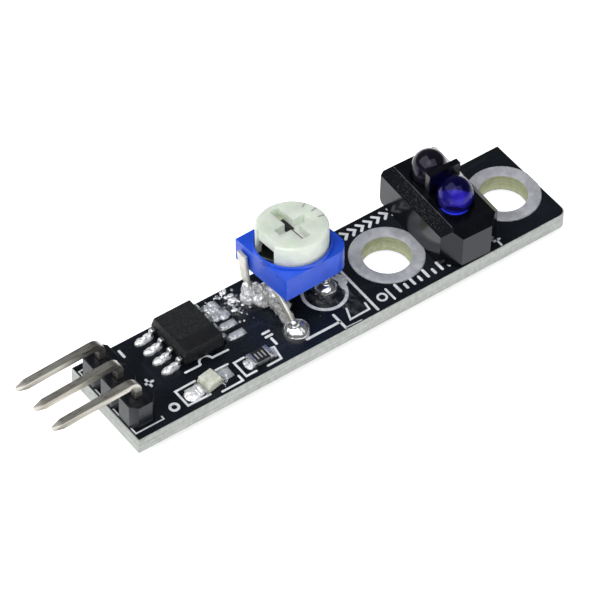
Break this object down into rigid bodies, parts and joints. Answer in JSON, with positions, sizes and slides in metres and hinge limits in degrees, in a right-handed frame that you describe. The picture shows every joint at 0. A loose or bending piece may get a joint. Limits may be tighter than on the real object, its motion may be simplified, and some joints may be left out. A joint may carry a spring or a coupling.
{
  "type": "line tracking sensor module",
  "caption": "Narrow circuit board with a bent pin header, a turnable trimmer and a two-lens reflective sensor that looks down at a line.",
  "frame": {"origin": "under the middle of the whole module, level with the lowest lead tips", "axes": "+X from the header end to the sensor end, +Y across the board, +Z out of the component side"},
  "size_m": [0.0504, 0.0104, 0.0096],
  "materials": {
    "solder_mask": "semi-gloss black solder mask over glass fibre laminate",
    "tinned_copper": "matte tinned copper",
    "black_nylon": "moulded, satin",
    "pin_metal": "bright plated, slightly warm",
    "epoxy_package": "fine grained moulded epoxy",
    "lead_metal": "bright tin plate",
    "blue_plastic": "moulded, satin gloss",
    "ivory_plastic": "moulded, slightly translucent",
    "bronze": "spring bronze",
    "ceramic": "plain matte ceramic",
    "carbon_track": "dark resistive layer on ceramic",
    "sensor_plastic": "moulded, fine texture",
    "blue_lens": "clear tinted epoxy, polished",
    "dark_lens": "daylight-blocking dark epoxy, polished",
    "led_resin": "cloudy resin",
    "resistor_glaze": "dark glaze",
    "solder": "bright, uneven"
  },
  "bodies": {
    "module": {"circuit_board": "solder_mask", "screw_ring_middle_top": "tinned_copper", "screw_ring_middle_bottom": "tinned_copper", "screw_ring_end_top": "tinned_copper", "screw_ring_end_bottom": "tinned_copper", "header_block": "black_nylon", "header_pin_1": "pin_metal", "header_pin_2": "pin_metal", "header_pin_3": "pin_metal", "header_solder_1": "solder", "header_solder_2": "solder", "header_solder_3": "solder", "comparator_body": "epoxy_package", "comparator_lead_1": "lead_metal", "comparator_lead_2": "lead_metal", "comparator_lead_3": "lead_metal", "comparator_lead_4": "lead_metal", "comparator_lead_5": "lead_metal", "comparator_lead_6": "lead_metal", "comparator_lead_7": "lead_metal", "comparator_lead_8": "lead_metal", "trimmer_housing": "blue_plastic", "trimmer_track": "carbon_track", "trimmer_terminal_near": "lead_metal", "trimmer_terminal_far": "lead_metal", "trimmer_terminal_wiper": "lead_metal", "trimmer_solder_near": "solder", "trimmer_solder_far": "solder", "trimmer_solder_wiper": "solder", "sensor_housing": "sensor_plastic", "emitter_lens": "blue_lens", "detector_lens": "dark_lens", "sensor_lead_1": "lead_metal", "sensor_lead_2": "lead_metal", "sensor_lead_3": "lead_metal", "sensor_lead_4": "lead_metal", "sensor_solder_1": "solder", "sensor_solder_2": "solder", "sensor_solder_3": "solder", "sensor_solder_4": "solder", "indicator_base": "ceramic", "indicator_lens": "led_resin", "indicator_terminal_1": "lead_metal", "indicator_terminal_2": "lead_metal", "indicator_solder_1": "solder", "indicator_solder_2": "solder", "resistor_body": "resistor_glaze", "resistor_cap_1": "lead_metal", "resistor_cap_2": "lead_metal", "resistor_solder_1": "solder", "resistor_solder_2": "solder"},
    "trimmer_dial": {"trimmer_rotor": "ivory_plastic", "trimmer_wiper": "bronze"}
  },
  "joints": [
    {"name": "trimmer_turn", "type": "hinge", "parent": "module", "child": "trimmer_dial", "pos_m": [0.00161, 0.00177, 0.00762], "axis": [0.0313, 0.0819, 0.9961], "range_deg": [-105, 105]}
  ]
}
